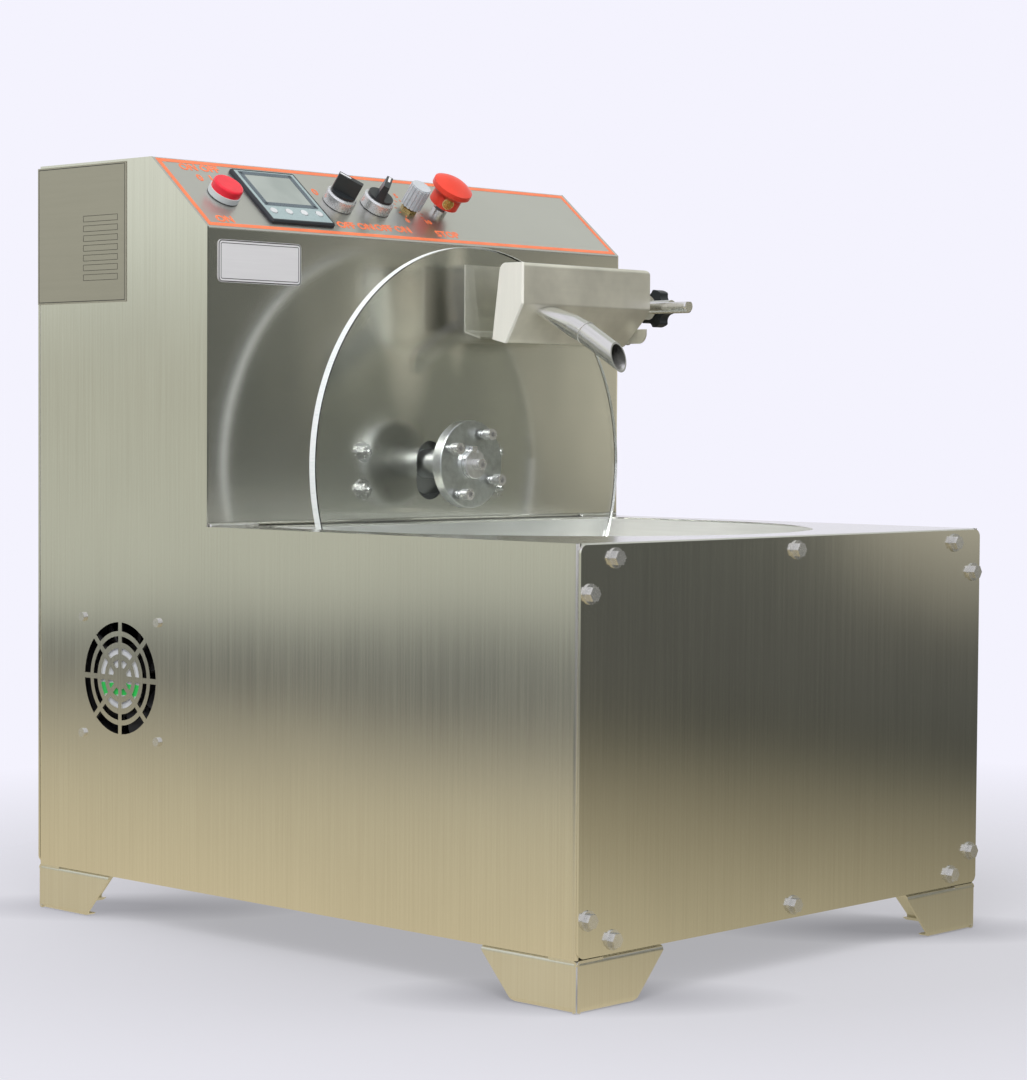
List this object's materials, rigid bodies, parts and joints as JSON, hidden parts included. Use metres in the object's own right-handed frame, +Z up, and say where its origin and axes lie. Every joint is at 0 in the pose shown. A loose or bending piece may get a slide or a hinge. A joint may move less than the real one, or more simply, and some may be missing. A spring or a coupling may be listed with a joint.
{
  "type": "chocolate tempering machine",
  "caption": "Table-top wheel tempering machine for chocolate: steel cabinet with a heated tub, a clear wheel that lifts chocolate to a scraper with a spout, and a sloped control panel.",
  "frame": {"origin": "on the floor the feet stand on, under the middle of the cabinet", "axes": "+X to the right as seen from the operator's side, -Y to the front (the tub side), +Z up"},
  "size_m": [0.5022, 0.6474, 0.6425],
  "materials": {
    "cabinet_steel": "satin stainless sheet, fine brushed",
    "tub_steel": "satin stainless, welded and polished",
    "scraper_steel": "satin stainless sheet",
    "bright_plate": "fine satin plate, bright",
    "polished_steel": "polished stainless",
    "turned_steel": "turned face",
    "fastener_steel": "plain stainless fasteners",
    "clear_acrylic": "clear cast acrylic, polished edge",
    "bracket_steel": "plain grey paint",
    "gearbox_aluminium": "cast aluminium",
    "motor_paint": "dark grey paint",
    "heater_silicone": "silicone heater pad",
    "knob_black": "black moulded plastic",
    "control_chrome": "bright turned bezel",
    "speed_knob_metal": "ribbed aluminium",
    "brass": "plain brass",
    "stop_red": "red moulded plastic",
    "stem_plastic": "grey moulded plastic",
    "lens_red": "red lens, frosted",
    "bezel_grey": "light grey moulded plastic",
    "controller_plastic": "blue-grey front in a dark frame",
    "display_glass": "grey-green display window",
    "button_white": "off-white keys",
    "fan_black": "black moulded plastic",
    "heat_sink": "extruded heat sink",
    "relay_plastic": "cream moulded block"
  },
  "bodies": {
    "cabinet": {"base_plate": "cabinet_steel", "bracket_bolts": "fastener_steel", "cable_gland": "knob_black", "control_housing": "cabinet_steel", "controller_case": "controller_plastic", "controller_screen": "display_glass", "deck_plate": "cabinet_steel", "drive_motor": "motor_paint", "estop_collar": "control_chrome", "fan_frame": "fan_black", "fan_screws": "fastener_steel", "foot_bolts": "fastener_steel", "foot_front_left": "cabinet_steel", "foot_front_right": "cabinet_steel", "foot_rear_left": "cabinet_steel", "foot_rear_right": "cabinet_steel", "front_cover": "cabinet_steel", "front_cover_bolts": "fastener_steel", "gearbox": "gearbox_aluminium", "guide_rod": "polished_steel", "guide_rod_nuts": "fastener_steel", "heater_relay": "relay_plastic", "left_side_panel": "cabinet_steel", "motor_bracket": "bracket_steel", "motor_drive": "heat_sink", "pilot_bezel": "bezel_grey", "pilot_lens": "lens_red", "rear_cover": "cabinet_steel", "rear_cover_bolts": "fastener_steel", "right_side_panel": "cabinet_steel", "selector_1_bezel": "control_chrome", "selector_2_bezel": "control_chrome", "speed_pot_bush": "brass", "tub": "tub_steel", "tub_heater_pad": "heater_silicone", "tub_probe": "fastener_steel"},
    "wheel": {"tempering_wheel": "clear_acrylic", "hub_flange": "turned_steel", "hub_screws": "fastener_steel", "shaft_key": "fastener_steel", "drive_shaft": "polished_steel"},
    "fan_rotor": {"fan_rotor": "fan_black"},
    "scraper": {"scraper_front_tray": "scraper_steel", "scraper_rear_plate": "scraper_steel", "scraper_end_plate": "bright_plate", "scraper_web": "scraper_steel", "scraper_spout": "polished_steel", "scraper_collar": "scraper_steel"},
    "clamp_knob": {"clamp_knob": "knob_black"},
    "selector_1": {"selector_1_handle": "knob_black"},
    "selector_2": {"selector_2_handle": "knob_black"},
    "speed_knob": {"speed_knob": "speed_knob_metal"},
    "estop_stem": {"estop_stem": "stem_plastic"},
    "estop_head": {"estop_head": "stop_red"},
    "button_1": {"controller_button_1": "button_white"},
    "button_2": {"controller_button_2": "button_white"},
    "button_3": {"controller_button_3": "button_white"},
    "button_4": {"controller_button_4": "button_white"}
  },
  "joints": [
    {"name": "wheel_spin", "type": "hinge", "parent": "cabinet", "child": "wheel", "pos_m": [0, 0.0365, 0.386], "axis": [0, 1, 0], "continuous": true},
    {"name": "fan_spin", "type": "hinge", "parent": "cabinet", "child": "fan_rotor", "pos_m": [-0.2485, 0.202, 0.206], "axis": [1, 0, 0], "continuous": true},
    {"name": "scraper_swing", "type": "hinge", "parent": "cabinet", "child": "scraper", "pos_m": [0.194, 0.0175, 0.526], "axis": [0, 1, 0], "range_deg": [0, 95]},
    {"name": "clamp_knob_turn", "type": "hinge", "parent": "scraper", "child": "clamp_knob", "pos_m": [0.194, 0.0175, 0.526], "axis": [1, 0, 0], "range_deg": [0, 360]},
    {"name": "selector_1_turn", "type": "hinge", "parent": "cabinet", "child": "selector_1", "pos_m": [-0.075, 0.12613, 0.60769], "axis": [0, -0.6455, 0.7638], "range_deg": [-90, 0]},
    {"name": "selector_2_turn", "type": "hinge", "parent": "cabinet", "child": "selector_2", "pos_m": [-0.031, 0.12613, 0.60769], "axis": [0, -0.6455, 0.7638], "range_deg": [0, 90]},
    {"name": "speed_knob_turn", "type": "hinge", "parent": "cabinet", "child": "speed_knob", "pos_m": [0.01, 0.12613, 0.60769], "axis": [0, -0.6455, 0.7638], "range_deg": [-135, 135]},
    {"name": "estop_push", "type": "slide", "parent": "cabinet", "child": "estop_stem", "axis": [0, 0.6455, -0.7638], "range_m": [0, 0.005], "stiffness_N_per_m": 1000},
    {"name": "estop_twist", "type": "hinge", "parent": "estop_stem", "child": "estop_head", "pos_m": [0.047, 0.12613, 0.60769], "axis": [0, -0.6455, 0.7638], "range_deg": [-35, 0]},
    {"name": "button_1_push", "type": "slide", "parent": "cabinet", "child": "button_1", "axis": [0, 0.6455, -0.7638], "range_m": [0, 0.0008], "stiffness_N_per_m": 500},
    {"name": "button_2_push", "type": "slide", "parent": "cabinet", "child": "button_2", "axis": [0, 0.6455, -0.7638], "range_m": [0, 0.0008], "stiffness_N_per_m": 500},
    {"name": "button_3_push", "type": "slide", "parent": "cabinet", "child": "button_3", "axis": [0, 0.6455, -0.7638], "range_m": [0, 0.0008], "stiffness_N_per_m": 500},
    {"name": "button_4_push", "type": "slide", "parent": "cabinet", "child": "button_4", "axis": [0, 0.6455, -0.7638], "range_m": [0, 0.0008], "stiffness_N_per_m": 500}
  ]
}
